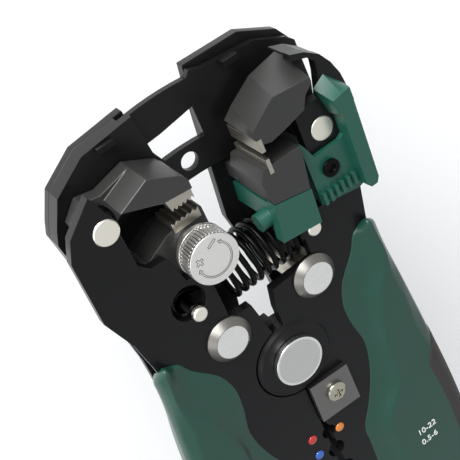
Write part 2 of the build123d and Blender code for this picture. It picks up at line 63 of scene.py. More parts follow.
# Places and sizes shared by several pieces, all in mm
KNOB_AT = np.array([-8.7, 40.8])
RIVET_AT = (12.0, 16.6)            # right side rivet; the left one mirrors it
LEFT_POST = (-15.2, 27.0)
RIGHT_POST = (16.3, 27.4)
GRIPPING_PIN = (-24.2, 56.7)
CUTTING_PIN = (26.6, 47.6)
GRIP_MIDDLE = 11.0                 # height of the grips' middle plane
TOP_END = 23.6                     # top of the grips' face
TOP_ROUND = 3.0                    # rounding of that end
TOE_START = -118.0                 # where the grips begin to close
TOE_LENGTH = 20.5
GRIP_ROUNDS = (0.8, 2.2, 2.0, 3.0, 1.2, 0.7, 0.6, 0.8, 1.6, 0.4, 0.4, 0.8)
LEAN = 0.842                       # how far the grips' top end leans back per mm of depth
INLAY_TOP = -19.5
INLAY_END = -126.0
ENGRAVED_WIDTH = 0.11              # lines of the knob's marks
SHARP_ANGLE = 28.0                 # degrees past which an edge is rounded

# Lines of the right grip, (y, x) in mm from the top down
OUTER_WALL = [(24, 30.9), (18.5, 31.1), (0, 33.0), (-20.4, 35.2), (-31.8, 36.4), (-44.6, 37.4), (-60, 38.0),
              (-82, 37.6), (-105, 35.8), (-127, 33.0), (-140, 31.5)]
STRIP_EDGE = [(24, 28.5), (20.7, 28.6), (11.4, 29.5), (4.0, 29.1), (-4.4, 30.4), (-15.4, 30.8), (-22.1, 32.3),
              (-35, 33.6), (-60, 34.6), (-82, 34.2), (-105, 32.2), (-140, 28.5)]
FACE_EDGE = [(24, 27.6), (21.4, 27.7), (14.9, 28.9), (8.2, 28.0), (2.2, 24.9), (-3.7, 23.3), (-11.2, 21.7),
             (-20.4, 22.0), (-26.3, 21.2), (-31.7, 17.4), (-37.3, 14.9), (-44.7, 15.2), (-60, 15.5),
             (-82, 16.0), (-105, 18.4), (-140, 22.0)]
BASE_EDGE = [(24, 25.0), (18.5, 22.8), (11.5, 17.8), (5.1, 15.9), (-2.6, 16.2), (-9.7, 17.4), (-18.3, 16.2),
             (-28.9, 11.9), (-33.8, 9.2), (-40.5, 8.9), (-60, 8.6), (-82, 9.6), (-105, 12.5), (-127, 16.3),
             (-140, 19.0)]
INLAY_EDGE = [(-18, 36.0), (-20.4, 34.6), (-25.7, 30.8), (-33.8, 31.1), (-43.2, 32.1), (-54.9, 32.5),
              (-82, 32.0), (-105, 30.2), (-140, 27.0)]

NODES = frame["nodes"]
BODY_OF = {n: b for b, names in frame["record"]["behaviour"]["bodies"].items() for n in names}
SLOT_OF = {s["node"]: s["material_slot"] for s in frame["record"]["subparts"]}


# ---------------------------------------------------------------- user values
class StripperSizes(bpy.types.PropertyGroup):
    """Sizes that a user would change, all in metres."""

    plate_edge: bpy.props.FloatProperty(
        name="Plate edge radius", description="Rounding of the stamped plates' edges",
        default=0.7 * MM, unit="LENGTH", precision=5)
    rear_edge: bpy.props.FloatProperty(
        name="Rear plate edge radius", description="Rounding of the rear and link plates' edges",
        default=0.4 * MM, unit="LENGTH", precision=5)
    moulded_edge: bpy.props.FloatProperty(
        name="Moulded edge radius", description="Rounding of the green plastic parts' edges",
        default=0.28 * MM, unit="LENGTH", precision=5)
    jaw_edge: bpy.props.FloatProperty(
        name="Jaw edge radius", description="Rounding of the jaw blocks' edges",
        default=0.22 * MM, unit="LENGTH", precision=5)
    insert_edge: bpy.props.FloatProperty(
        name="Insert edge radius", description="Break on teeth and blades",
        default=0.06 * MM, unit="LENGTH", precision=5)
    small_edge: bpy.props.FloatProperty(
        name="Small edge radius", description="Rounding of the screw heads and of the rim flange",
        default=0.12 * MM, unit="LENGTH", precision=5)
    knurl_ribs: bpy.props.IntProperty(
        name="Knurl ribs", description="Ribs round the adjusting knob", default=44, min=12, max=80)
    floor_drop: bpy.props.FloatProperty(
        name="Floor drop", description="How far the floor is below the tool",
        default=50 * MM, unit="LENGTH")


class StripperColours(bpy.types.PropertyGroup):
    """Colours that a user would change, as sRGB hex text."""

    plate: bpy.props.StringProperty(name="Plates", description="Powder coat on the frames", default="0d0d0e")
    jaw: bpy.props.StringProperty(name="Jaws", description="Coat on the jaw blocks", default="242423")
    grip: bpy.props.StringProperty(name="Grips", description="Moulded grip green", default="133a2f")
    stop: bpy.props.StringProperty(name="Stop", description="Moulded wire-stop green", default="14463a")
    inlay: bpy.props.StringProperty(name="Inlay", description="Soft grip inlay", default="262220")
    floor: bpy.props.StringProperty(name="Floor", description="Pale studio floor", default="f4f4f4")


# ---------------------------------------------------------------- small tools
def linear(hex_text, alpha=1.0):
    """sRGB hex text as linear RGBA."""
    c = np.array([int(hex_text[i:i + 2], 16) / 255.0 for i in (0, 2, 4)])
    c = np.where(c <= 0.04045, c / 12.92, ((c + 0.055) / 1.055) ** 2.4)
    return (float(c[0]), float(c[1]), float(c[2]), alpha)


def sizes():
    return bpy.context.scene.stripper_sizes


def colours():
    return bpy.context.scene.stripper_colours


def finish_piece(obj, body, material):
    """Gives a new piece its material and the body that it rides on."""
    obj.data.materials.clear()
    obj.data.materials.append(material)
    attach(obj, body)
    return obj


def new_mesh(name, verts, faces, smooth=True):
    """Object from a vertex array in metres and a list or array of faces."""
    mesh = bpy.data.meshes.new(name)
    mesh.from_pydata(np.asarray(verts, float).tolist(), [], [list(map(int, f)) for f in faces])
    mesh.update()
    mesh.polygons.foreach_set("use_smooth", [smooth] * len(mesh.polygons))
    obj = bpy.data.objects.new(name, mesh)
    bpy.context.scene.collection.objects.link(obj)
    return obj


def grid_faces(rows, cols, wrap_cols=False):
    """Quads of a rows x cols grid of points, numbered row by row."""
    r = np.arange(rows - 1)
    c = np.arange(cols if wrap_cols else cols - 1)
    i, j = np.meshgrid(r, c, indexing="ij")
    i2, j2 = i + 1, (j + 1) % cols
    return np.stack([i * cols + j, i * cols + j2, i2 * cols + j2, i2 * cols + j], -1).reshape(-1, 4)


def recalculated(obj):
    """Merges doubles and points every face outwards."""
    bm = bmesh.new()
    bm.from_mesh(obj.data)
    bmesh.ops.remove_doubles(bm, verts=bm.verts, dist=1e-7)
    bmesh.ops.recalc_face_normals(bm, faces=bm.faces)
    bm.to_mesh(obj.data)
    bm.free()
    return obj


def bevel(obj, width, segments):
    """Rounds the sharp edges; the same levels are seen and rendered."""
    mod = obj.modifiers.new("edge", "BEVEL")
    mod.width = width
    mod.segments = segments
    mod.limit_method = "ANGLE"
    mod.angle_limit = math.radians(SHARP_ANGLE)
    mod.harden_normals = True
    mod.use_clamp_overlap = True
    mod.miter_outer = "MITER_ARC"
    return obj


def eased_copy(node, width, material, segments):
    """The CAD node's own shape with its edges rounded, standing for the node."""
    source = NODES[node]
    mesh = source.data.copy()
    bm = bmesh.new()
    bm.from_mesh(mesh)
    bmesh.ops.remove_doubles(bm, verts=bm.verts, dist=2e-6)
    bmesh.ops.dissolve_limit(bm, angle_limit=math.radians(0.8), verts=bm.verts, edges=bm.edges,
                             delimit={"NORMAL"})
    bmesh.ops.recalc_face_normals(bm, faces=bm.faces)
    bm.to_mesh(mesh)
    bm.free()
    mesh.polygons.foreach_set("use_smooth", [True] * len(mesh.polygons))
    obj = bpy.data.objects.new(node + "_eased", mesh)
    bpy.context.scene.collection.objects.link(obj)
    bevel(obj, width, segments)
    weigh(obj)
    return stand_for(obj, node, material)


def weigh(obj):
    """Shades flat faces flat and lets only the rounded edges turn."""
    mod = obj.modifiers.new("weights", "WEIGHTED_NORMAL")
    mod.mode = "FACE_AREA"
    mod.weight = 80
    mod.keep_sharp = False
    return obj


def stand_for(obj, node, material=None):
    """The piece takes the node's body and the material of its slot, or the one given, and is shown in its
    place.
    """
    finish_piece(obj, BODY_OF[node], material or material_of(SLOT_OF[node]))
    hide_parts(node)
    return obj


def second_finish(obj, material, chosen):
    """Gives another material to the faces whose centres (mm) pass the test."""
    obj.data.materials.append(material)
    centres = np.empty(len(obj.data.polygons) * 3)
    obj.data.polygons.foreach_get("center", centres)
    mask = chosen(centres.reshape(-1, 3) / MM)
    obj.data.polygons.foreach_set("material_index", mask.astype(int))
    return obj


def lathe(name, at, profile, steps):
    """Surface of revolution about a vertical axis.

    Point (i, j) is the i-th profile point (radius, height) turned by 2 pi j / steps about the axis.
    The profile starts and ends on the axis, so that the surface is closed.
    """
    profile = np.asarray(profile, float)
    a = np.linspace(0, 2 * np.pi, steps, endpoint=False)
    x = at[0] + profile[:, :1] * np.cos(a)
    y = at[1] + profile[:, :1] * np.sin(a)
    z = np.repeat(profile[:, 1:], steps, 1)
    obj = new_mesh(name, np.stack([x, y, z], -1).reshape(-1, 3) * MM,
                   grid_faces(len(profile), steps, wrap_cols=True))
    return recalculated(obj)


def rounded_profile(points, radius, arc=5):
    """Profile whose inner corners are replaced by arcs tangent to both sides."""
    points = np.asarray(points, float)
    out = [points[0]]
    for a, b, c in zip(points[:-2], points[1:-1], points[2:]):
        u = (a - b) / np.linalg.norm(a - b)
        v = (c - b) / np.linalg.norm(c - b)
        reach = min(radius, 0.45 * np.linalg.norm(a - b), 0.45 * np.linalg.norm(c - b))
        t = np.linspace(0, 1, arc)[:, None]
        out.extend((1 - t) ** 2 * (b + u * reach) + 2 * t * (1 - t) * b + t ** 2 * (b + v * reach))
    out.append(points[-1])
    return np.array(out)


def tube(name, path, radius, sides):
    """Round wire along a path.

    At each path point the section is a circle in the plane across the tangent; its first axis is
    carried along the path by projection, so that it doesn't twist.
    """
    path = np.asarray(path, float)
    tangent = np.gradient(path, axis=0)
    tangent /= np.linalg.norm(tangent, axis=1)[:, None]
    first = np.cross(tangent[0], (0.3, 0.2, 0.9))
    axes = []
    for t in tangent:
        first = first - t * np.dot(first, t)
        first = first / np.linalg.norm(first)
        axes.append(first)
    u = np.array(axes)
    v = np.cross(tangent, u)
    a = np.linspace(0, 2 * np.pi, sides, endpoint=False)
    ring = radius * (u[:, None, :] * np.cos(a)[None, :, None] + v[:, None, :] * np.sin(a)[None, :, None])
    verts = (path[:, None, :] + ring).reshape(-1, 3)
    faces = grid_faces(len(path), sides, wrap_cols=True).tolist()
    faces.append(list(range(sides))[::-1])
    last = (len(path) - 1) * sides
    faces.append([last + i for i in range(sides)])
    return recalculated(new_mesh(name, verts * MM, faces))


def smooth_curve(y, points):
    """Value at y of a smooth line through (y, x) points listed with falling y.

    Between two points it is a cubic whose end slopes come from the neighbours (Catmull-Rom).
    """
    ys = np.array([p[0] for p in points], float)
    xs = np.array([p[1] for p in points], float)
    slope = np.gradient(xs, ys)
    i = int(np.clip(np.searchsorted(-ys, -y) - 1, 0, len(ys) - 2))
    h = ys[i + 1] - ys[i]
    t = (y - ys[i]) / h
    return ((2 * t ** 3 - 3 * t ** 2 + 1) * xs[i] + (t ** 3 - 2 * t ** 2 + t) * h * slope[i]
            + (-2 * t ** 3 + 3 * t ** 2) * xs[i + 1] + (t ** 3 - t ** 2) * h * slope[i + 1])


def closed_round(corners, radii, arc):
    """Closed polygon with every corner replaced by a tangent quadratic arc of arc points."""
    n = len(corners)
    out = []
    for i in range(n):
        a, b, c = corners[i - 1], corners[i], corners[(i + 1) % n]
        la, lc = max(np.linalg.norm(a - b), 1e-9), max(np.linalg.norm(c - b), 1e-9)
        reach = min(radii[i], 0.45 * la, 0.45 * lc)
        p, q = b + (a - b) / la * reach, b + (c - b) / lc * reach
        t = np.linspace(0, 1, arc)[:, None]
        out.append((1 - t) ** 2 * p + 2 * t * (1 - t) * b + t ** 2 * q)
    return np.concatenate(out)


def resample(points, count):
    """The same open line with evenly spaced points."""
    step = np.linalg.norm(np.diff(points, axis=0), axis=1)
    along = np.concatenate([[0], np.cumsum(step)])
    at = np.linspace(0, along[-1], count)
    return np.column_stack([np.interp(at, along, points[:, k]) for k in range(points.shape[1])])


def ribbon(name, line, width, low, high):
    """Flat bar of a given width that follows a line in the XY plane, from low to high."""
    line = np.asarray(line, float)
    along = np.gradient(line, axis=0)
    along /= np.linalg.norm(along, axis=1)[:, None]
    side = np.column_stack([-along[:, 1], along[:, 0]]) * width / 2
    left, right = line + side, line - side
    rings = [np.column_stack([p, np.full(len(p), z)]) for p, z in
             ((left, low), (left, high), (right, high), (right, low))]
    grid = np.stack(rings, 1)
    n = len(line)
    faces = grid_faces(n, 4, wrap_cols=True).tolist() + [[3, 2, 1, 0]]
    faces.append([(n - 1) * 4 + i for i in range(4)])
    return recalculated(new_mesh(name, grid.reshape(-1, 3) * MM, faces, smooth=False))


# ---------------------------------------------------------------- materials
def add_node(tree, kind, values=None, links=None, **settings):
    """Adds one shader node: settings are its properties, values its sockets, links its inputs."""
    made = tree.nodes.new(kind)
    for key, value in settings.items():
        setattr(made, key, value)
    for key, value in (values or {}).items():
        made.inputs[key].default_value = value
    for key, (source, output) in (links or {}).items():
        tree.links.new(source.outputs[output], made.inputs[key])
    return made


def base_material(name, colour, metallic, roughness, ior=None, **sockets):
    """Material with one Principled shader; returns material, tree and shader."""
    material = bpy.data.materials.new(name)
    material.use_nodes = True
    tree = material.node_tree
    shader = tree.nodes["Principled BSDF"]
    shader.inputs["Base Color"].default_value = linear(colour)
    shader.inputs["Metallic"].default_value = metallic
    shader.inputs["Roughness"].default_value = roughness
    if ior:
        shader.inputs["IOR"].default_value = ior
    for key, value in sockets.items():
        shader.inputs[key.replace("_", " ")].default_value = value
    return material, tree, shader


def mottled(tree, shader, dark, light, grain_mm, rough_low, rough_high, bump_mm):
    """Grain in colour, roughness and height, at a real size in millimetres."""
    place = add_node(tree, "ShaderNodeTexCoord")
    fine = add_node(tree, "ShaderNodeTexNoise",
                    {"Scale": 1 / (grain_mm * MM), "Detail": 3.0, "Roughness": 0.6},
                    {"Vector": (place, "Object")})
    broad = add_node(tree, "ShaderNodeTexNoise", {"Scale": 1 / (grain_mm * 40 * MM), "Detail": 2.0},
                     {"Vector": (place, "Object")})
    both = add_node(tree, "ShaderNodeMath", {1: 0.5}, {0: (fine, "Fac")}, operation="MULTIPLY")
    tone = add_node(tree, "ShaderNodeMath", {1: 0.5}, {0: (broad, "Fac"), 2: (both, "Value")},
                    operation="MULTIPLY_ADD")
    colour = add_node(tree, "ShaderNodeMix", {"A": linear(dark), "B": linear(light)},
                      {"Factor": (tone, "Value")}, data_type="RGBA")
    tree.links.new(colour.outputs["Result"], shader.inputs["Base Color"])
    rough = add_node(tree, "ShaderNodeMapRange", {"To Min": rough_low, "To Max": rough_high},
                     {"Value": (tone, "Value")})
    tree.links.new(rough.outputs["Result"], shader.inputs["Roughness"])
    bump = add_node(tree, "ShaderNodeBump", {"Strength": 1.0, "Distance": bump_mm * MM},
                    {"Height": (fine, "Fac")})
    tree.links.new(bump.outputs["Normal"], shader.inputs["Normal"])


def shade(hex_text, factor):
    """The hex colour made darker or lighter by a factor on its sRGB values."""
    values = [min(255, round(int(hex_text[i:i + 2], 16) * factor)) for i in (0, 2, 4)]
    return "".join(f"{v:02x}" for v in values)


def powder_coat():
    """Black satin powder coat on stamped steel: fine orange peel, soft wide highlights."""
    material, tree, shader = base_material(
        "black_powder_coat", colours().plate, 0.0, 0.42, 1.5, Specular_IOR_Level=0.22)
    mottled(tree, shader, shade(colours().plate, 0.9), shade(colours().plate, 1.12), 0.35, 0.27, 0.38, 0.005)
    return material


def cast_coat():
    """Matt black coat on sintered jaw blocks: slightly greyer and grainier than the plates."""
    material, tree, shader = base_material(
        "black_jaw_coat", colours().jaw, 0.0, 0.5, 1.5, Specular_IOR_Level=0.5)
    mottled(tree, shader, shade(colours().jaw, 0.9), shade(colours().jaw, 1.1), 0.25, 0.36, 0.48, 0.006)
    return material


def moulded_green(name, colour, low, high):
    """Spark-eroded moulded plastic: even colour, fine matt grain."""
    material, tree, shader = base_material(name, colour, 0.0, 0.5, 1.48)
    mottled(tree, shader, shade(colour, 0.94), shade(colour, 1.06), 0.3, low, high, 0.008)
    return material


def soft_black():
    """Soft thermoplastic rubber: warm black, dull sheen."""
    material, tree, shader = base_material("soft_rubber", colours().inlay, 0.0, 0.62, 1.5)
    mottled(tree, shader, shade(colours().inlay, 0.9), shade(colours().inlay, 1.1), 0.3, 0.58, 0.7, 0.01)
    return material


def brushed(name, colour, roughness, line_mm):
    """Ground or turned metal: long fine scratches along X."""
    material, tree, shader = base_material(name, colour, 1.0, roughness)
    place = add_node(tree, "ShaderNodeTexCoord")
    turned = add_node(tree, "ShaderNodeMapping", {"Scale": (0.04, 1.0, 1.0)}, {"Vector": (place, "Object")})
    lines = add_node(tree, "ShaderNodeTexNoise", {"Scale": 1 / (line_mm * MM), "Detail": 4.0},
                     {"Vector": (turned, "Vector")})
    rough = add_node(tree, "ShaderNodeMapRange",
                     {"To Min": roughness - 0.07, "To Max": roughness + 0.1}, {"Value": (lines, "Fac")})
    tree.links.new(rough.outputs["Result"], shader.inputs["Roughness"])
    tone = add_node(tree, "ShaderNodeMix",
                    {"A": linear(shade(colour, 0.93)), "B": linear(shade(colour, 1.05))},
                    {"Factor": (lines, "Fac")}, data_type="RGBA")
    tree.links.new(tone.outputs["Result"], shader.inputs["Base Color"])
    bump = add_node(tree, "ShaderNodeBump", {"Strength": 0.5, "Distance": 0.004 * MM},
                    {"Height": (lines, "Fac")})
    tree.links.new(bump.outputs["Normal"], shader.inputs["Normal"])
    return material


def enamel(name, colour):
    """Glossy enamel drop."""
    material, tree, shader = base_material(name, colour, 0.0, 0.12, 1.5, Coat_Weight=0.6)
    mottled(tree, shader, shade(colour, 0.95), shade(colour, 1.04), 0.8, 0.08, 0.16, 0.004)
    return material


def printed_white():
    """Matt white printing ink."""
    material, tree, shader = base_material("white_print", "d9dcd8", 0.0, 0.6, 1.5)
    mottled(tree, shader, "cfd2ce", "dfe2de", 0.2, 0.55, 0.65, 0.002)
    return material


MATERIALS = {}


def material_of(slot):
    """The material of a record slot, made once."""
    makers = {
        "black_plate": powder_coat,
        "black_jaw": cast_coat,
        "green_grip": lambda: moulded_green("green_grip_plastic", colours().grip, 0.3, 0.38),
        "green_plastic": lambda: moulded_green("green_stop_plastic", colours().stop, 0.32, 0.42),
        "black_inlay": soft_black,
        "black_rubber": soft_black,
        "tool_steel": lambda: brushed("ground_tool_steel", "b3aea3", 0.34, 0.12),
        "nickel_knob": lambda: brushed("satin_nickel", "f2f0ec", 0.34, 0.1),
        "polished_rivet": lambda: brushed("polished_steel", "f4f3f0", 0.24, 0.15),
        "plain_steel": lambda: brushed("turned_steel", "cfc9bc", 0.33, 0.12),
        "cream_pin": lambda: brushed("machined_pin_end", "fff6e6", 0.36, 0.1),
        "dark_blade": lambda: brushed("blued_blade", "7a7876", 0.36, 0.12),
        # Darker copy of the rivet steel: painted shade on the side rivets' cones and rims.
        "grey_edge": lambda: brushed("shoulder_steel_painted_shade", "85837f", 0.36, 0.1),
        # Paler copy of the rivet steel: painted highlight on the main rivet's face.
        "pale_face": lambda: brushed("pale_steel_painted_highlight", "d2d2d0", 0.3, 0.12),
        # Dark marks, also used as painted shade in the knob's rib valleys and grooves.
        "mark": lambda: brushed("dark_marks_and_painted_groove_shade", "3c3a36", 0.5, 0.1),
        "white_print": printed_white,
        "red_enamel": lambda: enamel("red_enamel", "a01c1a"),
        "blue_enamel": lambda: enamel("blue_enamel", "1f4fa0"),
        "orange_enamel": lambda: enamel("orange_enamel", "c0701c"),
        "zinc_screw": lambda: brushed("zinc_plated_steel", "b9b7a8", 0.22, 0.15),
        "black_spring": lambda: brushed("blackened_spring_wire", "1b1b1b", 0.34, 0.15),
    }
    if slot not in MATERIALS:
        MATERIALS[slot] = makers[slot]()
    return MATERIALS[slot]


# ---------------------------------------------------------------- operators
class STRIPPER_OT_stage(bpy.types.Operator):
    """Pale floor, soft lights, pale surroundings and the camera"""

    bl_idname = "stripper.stage"
    bl_label = "Stage"

    def execute(self, context):
        level = -sizes().floor_drop
        size = 6.0
        floor = new_mesh("studio_floor", [(-size, -size, level), (size, -size, level),
                                          (size, size, level), (-size, size, level)], [(0, 1, 2, 3)])
        material, tree, shader = base_material("pale_floor", colours().floor, 0.0, 0.8, 1.45)
        mottled(tree, shader, shade(colours().floor, 0.99), colours().floor, 2.0, 0.75, 0.85, 0.01)
        floor.data.materials.append(material)
        world = bpy.data.worlds.new("soft_room")
        world.use_nodes = True
        background = world.node_tree.nodes["Background"]
        background.inputs["Color"].default_value = linear("f6f8fb")
        background.inputs["Strength"].default_value = 0.72
        context.scene.world = world
        self.light("key_softbox", (-0.30, 0.62, 0.52), 0.55, 4.0)
        self.light("side_softbox", (-0.75, -0.05, 0.42), 0.5, 1.0)
        self.light("low_softbox", (-0.32, 0.80, 0.20), 0.45, 11.0)
        context.scene.view_settings.view_transform = "Standard"
        self.camera()
        return {"FINISHED"}

    def light(self, name, place, size, power):
        lamp = bpy.data.lights.new(name, "AREA")
        lamp.shape = "DISK"
        lamp.size = size
        lamp.energy = power
        obj = bpy.data.objects.new(name, lamp)
        bpy.context.scene.collection.objects.link(obj)
        obj.location = place
        aim = Vector((0.0, 0.02, 0.01)) - Vector(place)
        obj.rotation_euler = aim.to_track_quat("-Z", "Y").to_euler()

    def camera(self):
        """Close three-quarter view onto the heads, turned so that the handles run to the lower right."""
        lens = bpy.data.cameras.new("view")
        lens.sensor_width = 36.0
        lens.lens = 82.17
        lens.clip_start = 0.01
        obj = bpy.data.objects.new("view", lens)
        bpy.context.scene.collection.objects.link(obj)
        obj.location = Vector((-56.8, 164.8, 187.5)) * MM
        obj.rotation_euler = Euler([math.radians(a) for a in (-25.075, -30.906, -23.667)])
        bpy.context.scene.camera = obj


class STRIPPER_OT_plates(bpy.types.Operator):
    """Stamped frame plates with rolled edges"""

    bl_idname = "stripper.plates"
    bl_label = "Frame plates"

    def execute(self, context):
        coat = material_of("black_plate")
        for node in ("left_front_plate", "right_front_plate"):
            eased_copy(node, sizes().plate_edge, coat, 4)
        for node in ("left_rear_plate", "right_rear_plate", "left_rim_doubler", "link_plate",
                     "left_knuckle_plate"):
            piece = eased_copy(node, sizes().rear_edge, coat, 3)
            if node == "left_knuckle_plate":
                self.trim_ear(piece)
        outer = np.array([(25.3, 66.6), (28.6, 65.3), (31.6, 62.9), (33.4, 60.0), (34.7, 56.5), (35.1, 54.0)])
        rim = ribbon("right_rim_flange", outer - (0.15, 0.2), 0.5, 11.0, 16.6)
        bevel(rim, sizes().small_edge, 2)
        finish_piece(rim, "right_frame", coat)
        return {"FINISHED"}

    def trim_ear(self, piece):
        """Draws two corners of the knuckle's ear back behind the front plate's edge."""
        for vertex in piece.data.vertices:
            for old, new in (((-9.8, 20.4), (-12.2, 20.2)), ((-5.5, 14.0), (-6.4, 12.4))):
                if math.dist(vertex.co.xy / MM, old) < 0.2:
                    vertex.co.xy = Vector(new) * MM


class STRIPPER_OT_jaws(bpy.types.Operator):
    """Gripping and stripping jaw blocks with their steel inserts"""

    bl_idname = "stripper.jaws"
    bl_label = "Jaws"

    def execute(self, context):
        for node in ("gripping_lower_jaw", "gripping_upper_jaw", "cutting_lower_jaw", "cutting_upper_jaw"):
            eased_copy(node, sizes().jaw_edge, material_of("black_jaw"), 3)
        for node in ("lower_jaw_teeth", "upper_jaw_teeth", "lower_stripping_blade", "upper_stripping_blade",
                     "cutter_blade"):
            finish = "dark_blade" if node == "cutter_blade" else "tool_steel"
            eased_copy(node, sizes().insert_edge, material_of(finish), 2)
        return {"FINISHED"}


class STRIPPER_OT_plain(bpy.types.Operator):
    """Materials for the parts whose machined shape is already right"""

    bl_idname = "stripper.plain"
    bl_label = "Plain parts"

    def execute(self, context):
        for node, obj in NODES.items():
            obj.data.materials.clear()
            obj.data.materials.append(material_of(SLOT_OF[node]))
        return {"FINISHED"}


class STRIPPER_OT_grips(bpy.types.Operator):
    """Moulded grips: a face that narrows to a ridge, a slope towards the plate, a rounded outer wall"""

    bl_idname = "stripper.grips"
    bl_label = "Grips"

    def execute(self, context):
        for side, name in ((1, "right"), (-1, "left")):
            shell = self.surface(name + "_grip_shell", side)
            stand_for(shell, name + "_grip")
            inlay = self.inlay(name + "_inlay_shell", side)
            stand_for(inlay, name + "_grip_inlay")
        return {"FINISHED"}

    def rounded_end(self, y):
        """Scale of a section: 1 along the bar, falling to 0 over the toe like a quarter ellipse."""
        t = np.clip((TOE_START - y) / TOE_LENGTH, 0.0, 1.0)
        return np.sqrt(np.maximum(1.0 - t ** 2.2, 0.0))

    def stations(self):
        top = TOP_END - TOP_ROUND * (1 - np.sin(np.linspace(np.pi / 2, 0, 14)))[:-1]
        upper = np.linspace(TOP_END - TOP_ROUND, -60.0, 126)
        lower = np.linspace(-60.0, TOE_START, 40)[1:]
        toe = TOE_START - TOE_LENGTH * np.sin(np.linspace(0, np.pi / 2, 26))[1:]
        return np.concatenate([top, upper, lower, toe])

    def section(self, y):
        """Corners (x, z) of the right grip's section at one station, rear inner corner first."""
        wall = smooth_curve(y, OUTER_WALL)
        strip = smooth_curve(y, STRIP_EDGE)
        face = smooth_curve(y, FACE_EDGE)
        base = smooth_curve(y, BASE_EDGE)
        corners = np.array([
            (base + 2.0, 0.4), (wall - 6.5, 0.4), (wall - 3.4, 3.2), (wall - 0.9, 12.0), (wall, 18.6),
            (wall - 0.9, 20.4), (strip, 21.95), (face, 21.9), (0.55 * face + 0.45 * base, 19.9),
            (base, 19.1), (base - 0.1, 17.5), (base + 0.2, 4.0)])
        middle = np.array([(wall + base) / 2, GRIP_MIDDLE])
        half = np.array([(wall - base) / 2, GRIP_MIDDLE])
        up = np.clip((y - (TOP_END - TOP_ROUND)) / TOP_ROUND, 0.0, 0.999)
        inset = 1 - TOP_ROUND * (1 - np.sqrt(1 - up ** 2)) / (half + 1.0)
        return middle + (corners - middle) * self.rounded_end(y) * inset

    def lean(self, y, z):
        """Shift along the bar that makes the top end lean back, fading out down the bar."""
        t = np.clip((y + 14.0) / 37.6, 0.0, 1.0)
        return t * t * (3 - 2 * t) * LEAN * (z - 2 * GRIP_MIDDLE)

    def surface(self, name, side):
        """Sections rounded at their corners, set along the bar and leaning back at its top end.

        Row i is the section at station y_i; point j goes round it; y is y_i plus the lean at its height.
        """
        rows = []
        for y in self.stations():
            rows.append(self.placed(closed_round(self.section(y), GRIP_ROUNDS, 6), y, side))
        return self.skinned(name, rows, (0,))

    def placed(self, loop, y, side):
        """A section's (x, z) points as (x, y, z), mirrored for the left grip."""
        return np.column_stack([side * loop[:, 0], y + self.lean(y, loop[:, 1]), loop[:, 1]])

    def skinned(self, name, rows, closed):
        """Mesh through equal rows of points; closed lists the rows that get a flat end face."""
        grid = np.array(rows)
        count, around = grid.shape[:2]
        faces = grid_faces(count, around, wrap_cols=True).tolist()
        for row in closed:
            faces.append([row * around + i for i in range(around)])
        return recalculated(new_mesh(name, grid.reshape(-1, 3) * MM, faces))

    def inlay(self, name, side):
        """Soft panel over the outer wall: its front edge starts at the wall and runs inwards.

        Each row follows the wall's section from the rear to the panel's front edge and back inside it.
        """
        rows = []
        for y in np.linspace(INLAY_TOP, INLAY_END, 150):
            wall = smooth_curve(y, OUTER_WALL)
            edge = smooth_curve(y, INLAY_EDGE)
            skin = resample(closed_round(self.section(y), GRIP_ROUNDS, 6)[12:46], 300)
            low = 18.0 - 15.5 * np.clip((INLAY_TOP - y) / 5.0, 0.0, 1.0)
            skin = skin[(skin[:, 1] >= low) & ((skin[:, 1] < 18.6) | (skin[:, 0] >= edge))]
            middle = np.array([(wall + smooth_curve(y, BASE_EDGE)) / 2, GRIP_MIDDLE])
            away = skin - middle
            away /= np.linalg.norm(away, axis=1)[:, None]
            outer = resample(skin + 0.2 * away, 28)
            inner = resample(skin - 0.8 * away, 28)[::-1]
            rows.append(self.placed(np.concatenate([outer, inner]), y, side))
        return self.skinned(name, rows, (0, len(rows) - 1))


